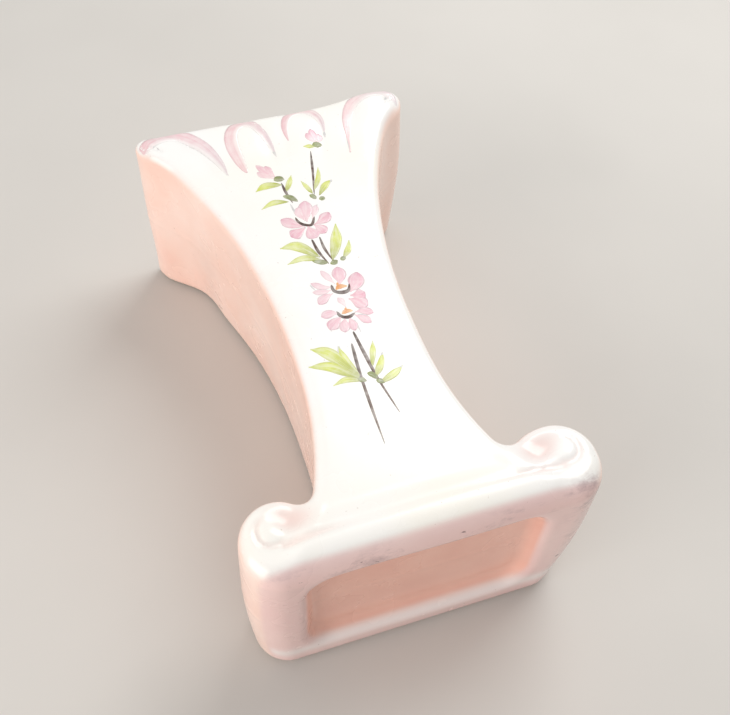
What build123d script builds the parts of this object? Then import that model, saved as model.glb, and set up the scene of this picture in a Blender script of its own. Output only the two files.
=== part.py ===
from build123d import *
import os
from math import atan2, degrees

# A glazed ceramic wall plate cover, lying on its open back.
# X is the width, Y the height (foot at -Y), +Z points out of the front face.
# The origin is the middle of the height, on the wall plane. Sizes are in mm.

# ---- ceramic shell ----
height = 150.0              # foot rim to top edge
foot_depth = 55.0           # wall plane to front face at the foot
top_depth = 58.5            # wall plane to front face at the top
top_width = 87.0            # before its corners are rounded
waist_width = 35.2
waist_drop = 13.0           # the waist is this far below mid height
neck_width = 50.0           # where the column meets the scrolls
neck_rise = 18.5            # height of that line above the foot rim
flare_power = 2.3           # how late the column flares above the waist
neck_power = 2.6            # and below it
foot_width = 96.0
foot_corner = 10.2          # round lower corners of the foot
foot_back_corner = 14.0     # round back corners of the foot's ends
scroll_radius = 10.4
scroll_lift = 1.0           # the scrolls' lowest point above the foot rim
wall = 5.0
top_corner = 4.5
hollow_corner = 2.0         # inside corners of the hollow
front_round = 2.8
notch_round = 2.0
edge_points = 10            # points that each flowing edge passes through

# ---- relief on the shell ----
groove_radius = 1.1
ribbon = 5.2                # thickness of the rolled ribbon round each scroll
groove_turn = 265.0         # degrees that the groove curls round each eye
dish_radius = 5.0
dish_depth = 1.8
dish_shift = 0.6            # dish edge in from the scroll's edge
dish_lift = 0.5             # dish above the scroll's middle
lobe_count = 4
lobe_width = 15.5
lobe_length = 24.0
lobe_height = 1.5
lobe_inset = 3.0            # lobe tips below the top edge
lobe_margin = 2.2           # outer lobes to the column's edge
lobe_sink = 0.1             # lobe middles below the front face

# ---- recess in the underside of the foot ----
recess_width = 62.0
recess_length = 38.0        # along the depth
recess_centre = 28.5        # above the wall plane
recess_depth = 4.0
recess_corner = 7.5
recess_round = 1.5          # soft rim and floor edges

# ---- buffer pads and grip strips ----
pad_thickness = 1.0
pad_width = 3.0
pad_length = 16.0
pad_spread = 52.0           # centre to centre across the width
top_pad_inset = 1.5         # pad edge to the shell's top edge
foot_pad_inset = 2.5        # pad edge to the foot rim
strip_thickness = 1.2
strip_length = 34.0
strip_low = 5.0             # above the shell's back rim
strip_high = 31.0

# ---- wall plate, springs and rivets ----
plate_thickness = 1.5
plate_end_radius = 11.0
screw_spacing = 76.0
screw_hole = 4.5
ear_length = 34.0
ear_height = 25.0
ear_round = 4.0
spring_thickness = 0.4
spring_width = 12.0
spring_foot = 6.0           # flat ends that the rivets hold
spring_rise = 15.5          # middle of the springs above the wall plane
spring_bow = 3.2            # how far each spring arches off its ear
spring_clearance = 0.3      # drawn gap between spring and grip strip
rivet_radius = 1.2
rivet_clearance = 0.05
rivet_head_radius = 2.1
rivet_head_height = 0.8

# ---- places worked out from the sizes ----
foot_y = -height / 2
top_y = height / 2
waist_y = -waist_drop
neck_y = foot_y + neck_rise
scroll_rise = scroll_radius + scroll_lift
scroll_y = foot_y + scroll_rise
scroll_x = foot_width / 2 - scroll_radius
rim_z = pad_thickness
strip_face = waist_width / 2 - wall - strip_thickness
spring_crown = strip_face - spring_clearance - spring_thickness
plate_width = 2 * (spring_crown - spring_bow)
front = Plane(
    origin=(0, foot_y, foot_depth),
    x_dir=(1, 0, 0),
    z_dir=(0, foot_depth - top_depth, height),
)


def half_width(y):
    """Half the column's width at the height y."""
    if y >= waist_y:
        share = (y - waist_y) / (top_y - waist_y)
        return waist_width / 2 + (top_width - waist_width) / 2 * share**flare_power
    share = (waist_y - y) / (waist_y - neck_y)
    return waist_width / 2 + (neck_width - waist_width) / 2 * share**neck_power


def column_face(inset):
    """The hourglass column, drawn this far inside the outer surface."""
    rise = (top_y - inset - scroll_y) / (edge_points - 1)
    heights = [scroll_y + rise * step for step in range(edge_points)]
    right = [(half_width(y) - inset, y) for y in heights]
    left = [(-x, y) for x, y in right]
    base_y = foot_y + (inset and inset + recess_depth)
    with BuildSketch() as sketch:
        with BuildLine():
            Spline(right)
            Spline(left)
            Line(right[-1], left[-1])
            Polyline(right[0], (right[0][0], base_y), (-right[0][0], base_y), left[0])
        make_face()
        fillet(sketch.vertices().group_by(Axis.Y)[-1], top_corner if inset == 0 else hollow_corner)
    return sketch.sketch


def foot_face():
    """The foot with its two round scrolls, seen from the front."""
    box = Pos(0, (foot_y + scroll_y) / 2) * Rectangle(foot_width, scroll_rise)
    corner = min(foot_corner, scroll_rise - 1.0)
    box = fillet(box.vertices().group_by(Axis.Y)[0], corner)
    for side in (-1, 1):
        box += Pos(side * scroll_x, scroll_y) * Circle(scroll_radius)
    return box


def foot_end_profile():
    """The foot seen from below: its ends round off towards the wall."""
    top = 2 * foot_depth
    profile = Pos(0, (rim_z + top) / 2) * Rectangle(foot_width, top - rim_z)
    return fillet(profile.vertices().group_by(Axis.Y)[0], foot_back_corner)


def solid_between(face, low, drop):
    """Raise a face from the height low to the front face less drop."""
    blank = extrude(Pos(0, 0, low) * face, top_depth + foot_depth)
    ceiling = front.offset(-drop)
    return split(blank, bisect_by=ceiling, keep=Keep.BOTTOM)


def round_foot_ends(solid):
    """Cut the foot's ends to their rounded plan, leaving the column alone."""
    reach = scroll_y + scroll_radius + 2
    plan = extrude(Plane.XZ.offset(-reach) * foot_end_profile(), reach - foot_y)
    upper = Pos(0, reach + height, 0) * Box(2 * foot_width, 2 * height, 8 * foot_depth)
    return solid & (plan + upper)


def on_front(solid_edges):
    """The edges that lie in the front face."""
    def flat(edge):
        return all(abs(front.to_local_coords(v.center()).Z) < 0.01 for v in edge.vertices())
    return [edge for edge in solid_edges if flat(edge)]


def scroll_groove(side):
    """The round groove between the rolled ribbon and the front face."""
    eye = scroll_radius - ribbon
    start = (0, scroll_rise - eye)
    turn = (side * scroll_x, scroll_rise - eye)
    with BuildLine(front) as path:
        Line(start, turn)
        centre = (side * scroll_x, scroll_rise)
        CenterArc(centre, eye, -90, side * groove_turn)
    section = Plane(path.line @ 0, z_dir=path.line % 0) * Circle(groove_radius)
    return sweep(section, path=path.line)


def scroll_dish(side):
    """The shallow hollow between each scroll's eye and the column."""
    ball = (dish_radius**2 + dish_depth**2) / (2 * dish_depth)
    x = side * (scroll_x - scroll_radius + dish_radius + dish_shift)
    return front * Pos(x, scroll_rise + dish_lift, ball - dish_depth) * Sphere(ball)


def lobe(index):
    """One long low swelling under the top edge, leaning with the flare."""
    share = (2 * index / (lobe_count - 1) - 1) * (lobe_count - 1) / lobe_count
    tip_y = top_y - lobe_inset
    tail_y = tip_y - lobe_length
    tip_x = share * (half_width(tip_y) - lobe_margin)
    tail_x = share * (half_width(tail_y) - lobe_margin)
    lean = degrees(atan2(tip_x - tail_x, lobe_length))
    ball = scale(Sphere(1), by=(lobe_width / 2, lobe_length / 2, lobe_height))
    middle = Pos((tip_x + tail_x) / 2, (tip_y + tail_y) / 2 - foot_y, -lobe_sink)
    return front * middle * Rot(0, 0, -lean) * ball


def make_recess():
    """The shallow tray cut into the underside of the foot."""
    plan = RectangleRounded(recess_width, recess_length, recess_corner)
    rim = Plane(origin=(0, foot_y, recess_centre), x_dir=(1, 0, 0), z_dir=(0, -1, 0))
    tray = extrude(rim * plan, -recess_depth)
    return fillet(tray.edges().group_by(Axis.Y)[-1], recess_round)


def make_shell():
    outline = column_face(0) + foot_face()
    notches = [v for v in outline.vertices() if scroll_y + 0.1 < v.Y < scroll_y + scroll_radius]
    outline = fillet(notches, notch_round)
    body = solid_between(outline, rim_z, 0)
    body = round_foot_ends(body)
    body = fillet(on_front(body.edges()), front_round)
    body -= solid_between(column_face(wall), rim_z, wall)
    body -= make_recess()
    rim = body.edges().group_by(Axis.Y)[0]
    rim = rim.filter_by_position(Axis.X, -recess_width / 2 - 0.1, recess_width / 2 + 0.1)
    low = recess_centre - recess_length / 2 - 0.1
    body = fillet(rim.filter_by_position(Axis.Z, low, low + recess_length + 0.2), recess_round)
    for index in range(lobe_count):
        body += lobe(index)
    for side in (-1, 1):
        body -= scroll_groove(side)
        body -= scroll_dish(side)
    return body


def make_strip(side):
    """A soft strip bonded inside the waist, where a side spring presses."""
    band = column_face(wall) - column_face(wall + strip_thickness)
    window = Pos(side * waist_width, waist_y) * Rectangle(2 * waist_width, strip_length)
    return extrude(Pos(0, 0, rim_z + strip_low) * (band & window), strip_high - strip_low)


def make_pads():
    """Four thin pads on the back rim, two above and two below."""
    top_pad_y = top_y - top_pad_inset - pad_width / 2
    foot_pad_y = foot_y + foot_pad_inset + pad_width / 2
    pads = []
    for y in (top_pad_y, foot_pad_y):
        for side in (-1, 1):
            plan = SlotOverall(pad_length, pad_width)
            pads.append(extrude(Pos(side * pad_spread / 2, y, 0) * plan, pad_thickness))
    return Compound(children=pads)


def rivet_places():
    """Where the four rivets cross the ears: side and height."""
    reach = ear_length / 2 - spring_foot / 2
    return [(side, waist_y + end * reach) for side in (-1, 1) for end in (-1, 1)]


def along_x(side, x, y):
    """A plane facing outwards at this distance from the middle."""
    return Plane(origin=(side * x, y, spring_rise), x_dir=(0, 1, 0), z_dir=(side, 0, 0))


def rivet_hole(side, y):
    """The tool that drills one rivet hole through an ear and its spring."""
    axis = along_x(side, plate_width / 2, y)
    return axis * Cylinder(rivet_radius + rivet_clearance, 4 * plate_thickness)


def make_plate():
    """The steel plate that stays on the wall, with two ears bent up."""
    with BuildSketch() as sketch:
        with Locations((0, waist_y)):
            Rectangle(plate_width, screw_spacing)
            with GridLocations(0, screw_spacing, 1, 2):
                Circle(plate_end_radius)
        inner = [v for v in sketch.vertices() if abs(abs(v.X) - plate_width / 2) < 0.01]
        fillet(inner, ear_round)
        with Locations((0, waist_y)):
            with GridLocations(0, screw_spacing, 1, 2):
                Circle(screw_hole / 2, mode=Mode.SUBTRACT)
    plate = extrude(sketch.sketch, plate_thickness)
    for side in (-1, 1):
        x = side * (plate_width - plate_thickness) / 2
        ear = Pos(x, waist_y, ear_height / 2) * Box(plate_thickness, ear_length, ear_height)
        corners = ear.edges().filter_by(Axis.X).group_by(Axis.Z)[-1]
        plate += fillet(corners, ear_round)
    for side, y in rivet_places():
        plate -= rivet_hole(side, y)
    return plate


def make_spring(side):
    """A bowed leaf spring, riveted to one ear by its flat ends."""
    inner = plate_width / 2
    reach = ear_length / 2
    bow = reach - spring_foot
    foot_a = Line((inner, -reach), (inner, -bow))
    foot_b = Line((inner, bow), (inner, reach))
    arch = ThreePointArc(foot_a @ 1, (spring_crown, 0), foot_b @ 0)
    profile = offset(foot_a + arch + foot_b, amount=spring_thickness, side=Side.RIGHT)
    band = make_face(profile.edges())
    leaf = extrude(Pos(0, waist_y, spring_rise - spring_width / 2) * band, spring_width)
    if side < 0:
        leaf = mirror(leaf, about=Plane.YZ)
    for place, y in rivet_places():
        if place == side:
            leaf -= rivet_hole(side, y)
    return leaf


def make_rivets():
    """Four small rivets through the ears and the springs' flat ends."""
    shank = plate_thickness + spring_thickness
    ball = (rivet_head_radius**2 + rivet_head_height**2) / (2 * rivet_head_height)
    keep_size = (4 * rivet_head_radius, 4 * rivet_head_radius, 2 * rivet_head_height)
    rivets = []
    for side, y in rivet_places():
        outer = along_x(side, plate_width / 2 + spring_thickness, y)
        body = outer * Pos(0, 0, -shank / 2) * Cylinder(rivet_radius, shank)
        for face, turn in ((outer, 1), (outer.offset(-shank), -1)):
            head = Pos(0, 0, turn * (rivet_head_height - ball)) * Sphere(ball)
            keep = Pos(0, 0, turn * rivet_head_height) * Box(*keep_size)
            body += face * (head & keep)
        rivets.append(body)
    return Compound(children=rivets)


os.makedirs("parts", exist_ok=True)
nodes = {
    "ceramic_shell": make_shell(),
    "grip_strip_left": make_strip(-1),
    "grip_strip_right": make_strip(1),
    "buffer_pads": make_pads(),
    "wall_plate": make_plate(),
    "side_spring_left": make_spring(-1),
    "side_spring_right": make_spring(1),
    "spring_rivets": make_rivets(),
}
for name, shape in nodes.items():
    shape.label = name
    export_step(shape, f"parts/{name}.step")
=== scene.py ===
# %% [markdown]
# # A hand-painted ceramic wall plate cover
#
# The cover is one glazed casting with a flared top, a narrow waist and a foot that rolls into two scrolls.
# Behind it a small sprung steel plate stays on the wall. The design model already holds every place and
# every joint, so this lesson only gives the pieces their finish. Sizes are in millimetres until a mesh is
# made.

# %% The frame
import math

import bpy
import numpy as np
from mathutils import Matrix, Vector


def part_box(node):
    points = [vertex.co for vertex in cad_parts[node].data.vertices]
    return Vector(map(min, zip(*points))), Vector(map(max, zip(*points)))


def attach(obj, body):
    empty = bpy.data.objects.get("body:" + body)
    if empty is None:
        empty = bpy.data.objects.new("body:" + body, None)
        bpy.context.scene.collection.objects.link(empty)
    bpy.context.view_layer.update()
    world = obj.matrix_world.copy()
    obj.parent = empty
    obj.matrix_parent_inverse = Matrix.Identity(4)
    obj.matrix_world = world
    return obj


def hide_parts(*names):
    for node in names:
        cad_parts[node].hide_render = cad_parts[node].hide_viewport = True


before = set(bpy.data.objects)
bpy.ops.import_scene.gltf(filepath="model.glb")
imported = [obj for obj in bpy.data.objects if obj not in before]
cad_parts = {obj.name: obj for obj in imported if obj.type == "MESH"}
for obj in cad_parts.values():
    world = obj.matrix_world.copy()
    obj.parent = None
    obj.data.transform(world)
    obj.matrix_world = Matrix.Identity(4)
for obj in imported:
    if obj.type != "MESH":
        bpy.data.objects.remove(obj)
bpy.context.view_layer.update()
MM = 0.001
low, high = (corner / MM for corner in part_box("ceramic_shell"))
print("shell from", [round(v, 1) for v in low], "to", [round(v, 1) for v in high])

# %% [markdown]
# ## The column's shape as numbers
#
# A cast piece has no flat panels. Its sides follow one flowing line, so the half width is a formula of the
# height: it grows slowly above the waist and then sweeps out, like a trumpet. Everything else hangs on it.
# A drawn curve would do as well, but a formula can be measured and changed by one number at a time.

# %% Driving sizes
FOOT_Y, TOP_Y, RIM_Z = low.y, high.y, low.z
FOOT_FRONT, TOP_FRONT = 55.0, 58.5
WAIST_Y, WAIST_HALF = -13.0, 17.6
TOP_HALF, FLARE_POWER = 43.5, 2.3
NECK_Y, NECK_HALF, NECK_POWER = FOOT_Y + 18.5, 25.0, 2.6
WALL = 5.0
SCROLL_R = 10.4
SCROLL_X, SCROLL_Y = high.x - SCROLL_R, FOOT_Y + SCROLL_R + 1.0
print("wall", WALL, "mm, scroll middle", round(SCROLL_X, 1), round(SCROLL_Y, 1))


# %% Half width and front
def half_width(y):
    """Half the column's width at each height."""
    above = np.clip((y - WAIST_Y) / (TOP_Y - WAIST_Y), 0, 1.2)
    below = np.clip((WAIST_Y - y) / (WAIST_Y - NECK_Y), 0, 1.3)
    flare = (TOP_HALF - WAIST_HALF) * above**FLARE_POWER
    return WAIST_HALF + flare + (NECK_HALF - WAIST_HALF) * below**NECK_POWER


def front_z(y):
    """The front face leans out a little towards the top."""
    return FOOT_FRONT + (TOP_FRONT - FOOT_FRONT) * (y - FOOT_Y) / (TOP_Y - FOOT_Y)


print("waist", 2 * WAIST_HALF, "mm, flare", round(2 * float(half_width(TOP_Y)), 1), "mm")

# %% [markdown]
# ## Solids as distances
#
# Soft castings are hard to bevel edge by edge. A distance formula is easier: it is negative inside the clay
# and positive outside. Where two surfaces meet, a round version of "and" or "or" gives the edge its radius,
# which is just how glaze and slip round every edge on the real piece.


# %% Round joins
def both(a, b, radius):
    """Inside a and inside b, with the shared edge rounded off."""
    flat = np.minimum(np.maximum(a, b), -radius)
    return flat + np.hypot(np.maximum(radius + a, 0), np.maximum(radius + b, 0))


def either(a, b, radius):
    """Inside a or inside b, with a soft fillet where they meet."""
    return -both(-a, -b, radius)


corner_gap = float(both(np.array(0.0), np.array(0.0), 3.0))
print("a 3 mm round corner sits", round(corner_gap, 2), "mm inside the sharp one")


# %% Fades, humps and bars
def ease(low_end, high_end, value):
    """0 below low_end, 1 above high_end, and a smooth rise between."""
    share = np.clip((value - low_end) / (high_end - low_end), 0, 1)
    return share * share * (3 - 2 * share)


def hump(value, middle, spread):
    """A smooth hump of height 1."""
    return np.exp(-(((value - middle) / spread) ** 2))


def bar_distance(x, y, start, end):
    """Distance from points to a straight line between two ends."""
    along = np.array(end, float) - np.array(start, float)
    share = np.clip(((x - start[0]) * along[0] + (y - start[1]) * along[1]) / along.dot(along), 0, 1)
    return np.hypot(x - start[0] - share * along[0], y - start[1] - share * along[1])


print("half way up a fade the value is", float(ease(0, 1, 0.5)))

# %% [markdown]
# ## Four lobes under the top edge
#
# On the real piece four soft swellings stand under the top edge, like the tips of leaves. Each is a bar
# with a wide tip and a narrow tail, raised by up to a millimetre. They are rises of the front surface and
# not separate lumps, so they are a height map that the solid's front face takes in: nothing has to be
# joined afterwards.

# %% Lobes
LOBES = [((33.5, 66.5), (25.0, 50.0), 6.8, 5.0, 1.0), ((8.9, 67.5), (7.6, 53.0), 6.0, 5.2, 0.8)]
LOBE_OUTLINE = 0.3


def lobes(x, y):
    """The four swellings, mirrored about the middle."""
    rise = np.zeros(np.broadcast(x, y).shape)
    for tip, tail, tip_radius, tail_radius, tall in LOBES:
        share = ease(tail[1], tip[1], y)
        edge = bar_distance(x, y, tip, tail) - (tail_radius + (tip_radius - tail_radius) * share)
        fade = ease(tail[1] - 6, tip[1] - 1, y)
        rise = rise + fade * (tall * ease(1.6, -4.6, edge) - LOBE_OUTLINE * hump(edge, 0, 1.4))
    return rise


print("an inner lobe is", round(float(lobes(np.array(8.9), np.array(66.0))), 2), "mm high")

# %% [markdown]
# ## The crease and the scrolls' hollows
#
# At the foot a crease sets off the rolled ribbon and ends in each scroll, where a thumb-shaped hollow is
# pressed in beside a small round eye. Where two of them meet, only the deeper one counts, just as two
# strokes of a wet thumb don't add up. The left scroll of this hand-finished piece is a little narrower than
# the right one, so its side is drawn wider and squeezed.

# %% Crease, ring and hollow
CREASE_Y = FOOT_Y + 9.2
EYE_X, EYE_Y, EYE_R = 39.2, -61.8, 3.9
HOLLOW_X, HOLLOW_Y, HOLLOW_WIDE, HOLLOW_TALL = 33.6, -59.6, 5.4, 3.7
HOLLOW_DEEP, RING_DEEP = 1.45, 0.8
LEFT_SQUEEZE = 0.075


def foot_x(x):
    """Distance from the middle, stretched on the left side."""
    return np.abs(x) * (1 + LEFT_SQUEEZE * ease(2, -20, x))


def pressed_in(u, y):
    """The deepest of the crease, the ring round the eye and the hollow."""
    near_scroll = ease(14, 34, u)
    gap = bar_distance(u, y, (0, CREASE_Y + 0.6), (EYE_X - 2.0, CREASE_Y - 0.4))
    crease = (0.2 + 0.8 * near_scroll) * hump(gap, 0, 0.8 + 0.3 * near_scroll)
    turn = np.degrees(np.arctan2(y - EYE_Y, u - EYE_X))
    round_eye = hump(np.hypot(u - EYE_X, y - EYE_Y), EYE_R, 0.9)
    open_turn = np.maximum(ease(-150, -110, turn) * ease(95, 45, turn), ease(165, 178, turn))
    lean = 0.12 * (u - HOLLOW_X)
    across = np.hypot((u - HOLLOW_X) / HOLLOW_WIDE, (y - HOLLOW_Y - lean) / HOLLOW_TALL)
    hollow = HOLLOW_DEEP * np.exp(-(across**2.6))
    return np.maximum(np.maximum(crease, RING_DEEP * round_eye * open_turn), hollow)


deepest = float(pressed_in(np.array(HOLLOW_X), np.array(HOLLOW_Y)))
print("the hollow is", round(deepest, 2), "mm deep")

# %% [markdown]
# ## All the relief together
#
# What is left is small: the swell of the roll, a lip along the top, the raised top corners and a pinch in
# each of them. The right corner stands highest, because the piece was finished by hand.

# %% Relief
CORNER_RISE, RIGHT_CORNER_RISE = 0.5, 1.9


def relief(x, y):
    """How far the front face rises or falls, in millimetres."""
    ax, u = np.abs(x), foot_x(x)
    eye = 0.5 * hump(np.hypot(u - EYE_X, y - EYE_Y), 0, 2.6)
    roll = 0.6 * hump(y, FOOT_Y + 4.4, 3.6) * ease(48, 34, u)
    lip = 0.5 * ease(56, 70, y)
    pinch = 0.6 * hump(bar_distance(ax, y, (40.0, 70.5), (34.5, 66.5)), 0, 0.8)
    corner = CORNER_RISE * hump(np.hypot(ax - 36, y - 71), 0, 9)
    corner = corner + RIGHT_CORNER_RISE * ease(-5, 5, x) * hump(np.hypot(x - 33, y - 73), 0, 9)
    sunk = pressed_in(u, y) + pinch * ease(60, 66, y)
    return lobes(ax, y) + lip + roll + eye + corner - sunk


print("the top right corner rises", round(float(relief(np.array(33.0), np.array(73.0))), 2), "mm")

# %% [markdown]
# ## The column's sides
#
# The sides draw in a little towards the wall, as a casting has to if it is to leave its mould. The left
# wall also leans in near the top and the right one bellies out, as castings do when they sag in drying. The
# distance is divided by the slope of the flowing line, so that one unit of it is still a true millimetre.

# %% Column sides
SLOPE_Y = np.linspace(low.y - 5, high.y + 5, 400)
LEAN = np.hypot(1, np.gradient(half_width(SLOPE_Y), SLOPE_Y))
DRAFT, LEFT_DENT = 2.6, 2.4


def depth_share(y, z):
    """0 at the front face and 1 at the wall."""
    return np.clip((front_z(y) - z) / (front_z(y) - RIM_Z), 0, 1)


def left_dent(x, y, z):
    """The left wall leans in near the top, most of all at the back."""
    return LEFT_DENT * ease(4, -4, x) * depth_share(y, z) ** 1.2 * hump(y, 57, 9)


def column_side(x, y, z):
    """Distance to the column's side walls."""
    deep = depth_share(y, z)
    half = half_width(y) + 1.9 * hump(y, 67, 5)
    half = half - (DRAFT - 1.8 * ease(48, 70, y)) * deep**1.6
    right = 1 - ease(4, -4, x)
    half = half - left_dent(x, y, z)
    half = half + right * (1.7 * hump(y, 69, 7) + 1.4 * np.sin(math.pi * deep) * ease(50, 72, y))
    return (np.abs(x) - half) / np.interp(y, SLOPE_Y, LEAN)


print("the line leans most by", round(float(LEAN.max()), 2))

# %% [markdown]
# ## The open back and the tray
#
# A cover has to be hollow to go over its plate, so the back is open and the wall is 5 mm thick. Under the
# foot lies a shallow tray with soft corners. Both are spaces, and the solid is later kept outside them.

# %% Hollow and tray
TRAY_Z, TRAY_HALF_X, TRAY_HALF_Z, TRAY_DEPTH, TRAY_CORNER = 28.5, 31.0, 19.0, 4.0, 7.5


def round_box(over_x, over_y):
    """Distance to a box whose corner arcs start where both values are zero."""
    outside = np.hypot(np.maximum(over_x, 0), np.maximum(over_y, 0))
    return outside + np.minimum(np.maximum(over_x, over_y), 0)


def hollow_distance(x, y, z):
    """The space inside the open back."""
    side = np.abs(x) - (half_width(y) - WALL - left_dent(x, y, z))
    space = both(side, z - (front_z(y) - WALL), 3.5)
    space = both(space, y - (TOP_Y - WALL), 3.0)
    return both(space, FOOT_Y + WALL + TRAY_DEPTH - y, 2.5)


def tray_distance(x, y, z):
    """The shallow tray under the foot."""
    over_x = np.abs(x) - TRAY_HALF_X + TRAY_CORNER
    over_z = np.abs(z - TRAY_Z) - TRAY_HALF_Z + TRAY_CORNER
    return both(round_box(over_x, over_z) - TRAY_CORNER, y - (FOOT_Y + TRAY_DEPTH), 3.4)


print("tray", 2 * TRAY_HALF_X, "by", 2 * TRAY_HALF_Z, "mm")

# %% [markdown]
# ## The foot and its scrolls
#
# Seen from the front, the foot is a round scroll at each end and a block with rounded lower corners under
# them. The right scroll is stretched inwards by about a fifth, and the right end draws in more towards the
# wall. Both come from the hand finish of the real piece.

# %% Foot
FOOT_CORNER, RIGHT_STRETCH = 9.8, 0.22
EDGE_ROUND, LOW_EDGE_ROUND, BACK_ROUND = 4.2, 1.4, 2.2


def foot_distance(x, y, z, front):
    """The foot, its two scrolls and the rolled front edge."""
    deep = np.clip((FOOT_FRONT - z) / (FOOT_FRONT - RIM_Z), 0, 1)
    taper = 4.6 - 3.4 * ease(4, -4, x)
    u = foot_x(x) + (taper * deep**2.2 - 0.8 * np.sin(math.pi * deep)) * ease(12, 40, np.abs(x))
    inward = np.minimum(u - SCROLL_X, 0) * (1 - RIGHT_STRETCH * ease(-4, 4, x))
    scroll = np.hypot(np.maximum(u - SCROLL_X, 0) + inward, y - SCROLL_Y) - SCROLL_R
    block = round_box(u - high.x + FOOT_CORNER, FOOT_Y + FOOT_CORNER - y) - FOOT_CORNER
    plan = np.minimum(scroll, np.maximum(block, y - SCROLL_Y))
    low_edge = ease(SCROLL_Y + 2, FOOT_Y + 2, y)
    solid = both(plan, front, EDGE_ROUND + LOW_EDGE_ROUND * low_edge)
    return both(solid, RIM_Z - z, BACK_ROUND)


print("the foot's front edge is rounded by", EDGE_ROUND, "to", EDGE_ROUND + LOW_EDGE_ROUND, "mm")

# %% [markdown]
# ## The whole shell
#
# The column and the foot are joined with a soft fillet, and the tray and the hollow are taken away. A faint
# raised line runs along the sides where the two mould halves met, and a slow wobble of a tenth of a
# millimetre keeps the surface from looking machined.

# %% The shell as one distance
SEAM_Z, SEAM_HEIGHT = 29.0, 0.11
NECK_FILLET = 5.5


def shell_distance(x, y, z):
    """Negative inside the ceramic, positive outside it."""
    wobble = 0.10 * np.sin(0.13 * x + 0.6) * np.sin(0.11 * y) + 0.07 * np.sin(0.17 * z + 0.08 * y)
    seam = SEAM_HEIGHT * hump(z, SEAM_Z, 0.6) * ease(FOOT_Y + 2, FOOT_Y + 5, y)
    wobble = wobble * ease(RIM_Z + 1, RIM_Z + 8, z) - seam
    front = z - front_z(y) - relief(x, y)
    side = column_side(x, y, z)
    column = both(both(side, y - TOP_Y, 4.5), SCROLL_Y - 6 - y, 1.0)
    column = both(both(column, front, 3.0), RIM_Z - z, 1.6)
    body = either(column, foot_distance(x, y, z, front), NECK_FILLET)
    body = both(body, -tray_distance(x, y, z), 3.0)
    return both(body + wobble, -hollow_distance(x, y, z), 1.0)


inside_wall = shell_distance(np.array([WAIST_HALF - 2.5]), np.array([WAIST_Y]), np.array([45.0]))
print("the middle of the wall is", round(-float(inside_wall[0]), 1), "mm deep in the clay")

# %% [markdown]
# ## From distance to mesh
#
# The distance is measured on a grid, a point is put in every cell that the surface crosses, and
# neighbouring points are joined into quads. Metaballs or a remesh would also give a skin, but they round
# off what is small, and here the crease and the seam have to stay.


# %% Grid to quads
def quads_from_grid(field, origin, step):
    """One point in each crossed cell, one quad for each crossed grid edge."""
    inside = field < 0
    shape = np.array(field.shape) - 1
    corners = [np.array(c) for c in np.ndindex(2, 2, 2)]
    cells = [slice(None, -1), slice(1, None)]
    count = sum(inside[tuple(cells[v] for v in c)].astype(np.int8) for c in corners)
    spots = np.argwhere((count > 0) & (count < 8))
    number = np.full(shape, -1)
    number[tuple(spots.T)] = np.arange(len(spots))
    total, hits = np.zeros((len(spots), 3)), np.zeros(len(spots))
    unit = np.eye(3, dtype=int)
    for a in corners:
        for axis in range(3):
            if a[axis]:
                continue
            b = a + unit[axis]
            fa, fb = field[tuple((spots + a).T)], field[tuple((spots + b).T)]
            crossed = (fa < 0) != (fb < 0)
            share = fa[crossed] / (fa[crossed] - fb[crossed])
            total[crossed] += a + share[:, None] * (b - a)
            hits += crossed
    quads = []
    for axis in range(3):
        u, v = (axis + 1) % 3, (axis + 2) % 3
        where = np.argwhere(inside != np.roll(inside, -1, axis))
        where = where[(where[:, axis] < shape[axis]) & (where[:, u] > 0) & (where[:, v] > 0)]
        where = where[(where[:, u] < shape[u]) & (where[:, v] < shape[v])]
        turns = ((0, 0), (1, 0), (1, 1), (0, 1))
        ring = np.stack([number[tuple((where - du * unit[u] - dv * unit[v]).T)] for du, dv in turns], 1)
        outward = inside[tuple(where.T)]
        ring[~outward] = ring[~outward][:, ::-1]
        quads.append(ring)
    return origin + step * (spots + total / hits[:, None]), np.concatenate(quads)


print("a grid becomes quads, one for each edge that the surface crosses")

# %% [markdown]
# ## Walking onto the surface
#
# Each point is walked along the slope until its distance is zero, so the mesh lies on the true surface and
# needs no smoothing. The same walk later lays the painted strokes on the glaze.


# %% Slope and settling
def slope_of(points, distance, small=0.05):
    """The direction in which the distance grows, and how fast."""
    sides = [distance(*(points + small * a).T) - distance(*(points - small * a).T) for a in np.eye(3)]
    return np.stack(sides, 1) / (2 * small)


def settle(points, distance, rounds=4):
    """Walk every point along the slope until its distance is zero."""
    for _ in range(rounds):
        slope = slope_of(points, distance)
        length = np.maximum((slope**2).sum(1), 0.2)
        points = points - np.clip(distance(*points.T) / length, -0.5, 0.5)[:, None] * slope
    return points


print("a point settles in four short walks")

# %% [markdown]
# ## The shell's mesh
#
# A step of 0.88 mm is fine enough for a crease 1.5 mm wide, and it keeps the mesh light enough to be handed
# on whole.

# %% Grid and points
GRID_STEP = 0.88
axes = [np.arange(low[i] - 3, high[i] + 4 + GRID_STEP, GRID_STEP) for i in range(3)]
grid = np.meshgrid(*axes, indexing="ij", sparse=True)
field = shell_distance(*np.broadcast_arrays(*grid))
shell_points, shell_quads = quads_from_grid(field, np.array([a[0] for a in axes]), GRID_STEP)
shell_points = settle(shell_points, shell_distance)
print(len(shell_points), "points and", len(shell_quads), "quads")

# %% [markdown]
# ## Making objects and marking them
#
# A material can't know where the clay was dipped, wiped or fired on its rim. The mesh can carry that: one
# number per point for each zone, which the material reads by name. It costs little and needs no picture.


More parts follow.
